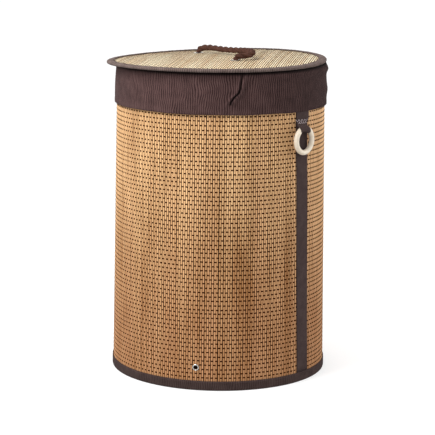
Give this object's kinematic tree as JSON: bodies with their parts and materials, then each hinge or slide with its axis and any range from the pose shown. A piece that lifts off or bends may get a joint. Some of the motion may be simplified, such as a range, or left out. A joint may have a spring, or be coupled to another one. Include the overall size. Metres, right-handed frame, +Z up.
{
  "type": "laundry hamper with lid",
  "caption": "Round bamboo-slat laundry hamper with a removable dark fabric liner, turned-down cuff, ring handles and a loose lid with a rope handle.",
  "frame": {"origin": "centre of the hamper's underside, on the surface it stands on", "axes": "+Z up through the middle of the round wall, +X out through the seam with the right ring handle, -Y towards the front half mat"},
  "size_m": [0.436, 0.4273, 0.627],
  "materials": {
    "bamboo": "thin split bamboo slats woven with dark thread",
    "liner_cloth": "dark brown woven cloth",
    "seam_ribbon": "dark grey-brown cotton tape",
    "edge_tape": "dark grey-brown folded edge tape",
    "rope": "brown three-strand twisted rope",
    "pale_wood": "pale smooth turned wood",
    "nickel": "nickel-plated steel",
    "spring_steel": "plain spring steel",
    "board": "stiff pressed board"
  },
  "bodies": {
    "basket": {"wall_mat_front": "bamboo", "wall_mat_rear": "bamboo", "seam_strip_right": "seam_ribbon", "seam_strip_left": "seam_ribbon", "seam_backing_right": "seam_ribbon", "seam_backing_left": "seam_ribbon", "bottom_binding": "edge_tape", "bottom_hoop": "spring_steel", "top_binding": "edge_tape", "top_hoop": "spring_steel", "wall_eyelet": "nickel", "wall_eyelet_washer": "nickel", "base_cloth": "edge_tape", "floor_board": "board", "floor_cover": "liner_cloth", "floor_tab_front": "edge_tape", "floor_tab_rear": "edge_tape", "ring_strap_right": "seam_ribbon", "ring_strap_left": "seam_ribbon"},
    "liner": {"liner_side": "liner_cloth", "liner_bottom": "liner_cloth", "liner_cuff": "liner_cloth"},
    "lid": {"lid_mat": "bamboo", "lid_binding": "edge_tape", "lid_hoop": "spring_steel", "lid_eyelet_a": "nickel", "lid_eyelet_b": "nickel", "rope_knot_a": "rope", "rope_knot_b": "rope"},
    "rope_handle": {"handle_rope": "rope"},
    "ring_right": {"handle_ring_right": "pale_wood"},
    "ring_left": {"handle_ring_left": "pale_wood"}
  },
  "joints": [
    {"name": "liner_lift", "type": "slide", "parent": "basket", "child": "liner", "axis": [0, 0, 1], "range_m": [0, 0.6]},
    {"name": "lid_lift", "type": "slide", "parent": "liner", "child": "lid", "axis": [0, 0, 1], "range_m": [0, 0.25]},
    {"name": "rope_swing", "type": "hinge", "parent": "lid", "child": "rope_handle", "pos_m": [0.0709, -0.04045, 0.61534], "axis": [0.9134, -0.4068, 0.0121], "range_deg": [0, 150]},
    {"name": "ring_right_swing", "type": "hinge", "parent": "basket", "child": "ring_right", "pos_m": [0.21014, 0, 0.4895], "axis": [0, -1, 0], "range_deg": [0, 90]},
    {"name": "ring_left_swing", "type": "hinge", "parent": "basket", "child": "ring_left", "pos_m": [-0.21014, 0, 0.4895], "axis": [0, 1, 0], "range_deg": [0, 90]}
  ]
}
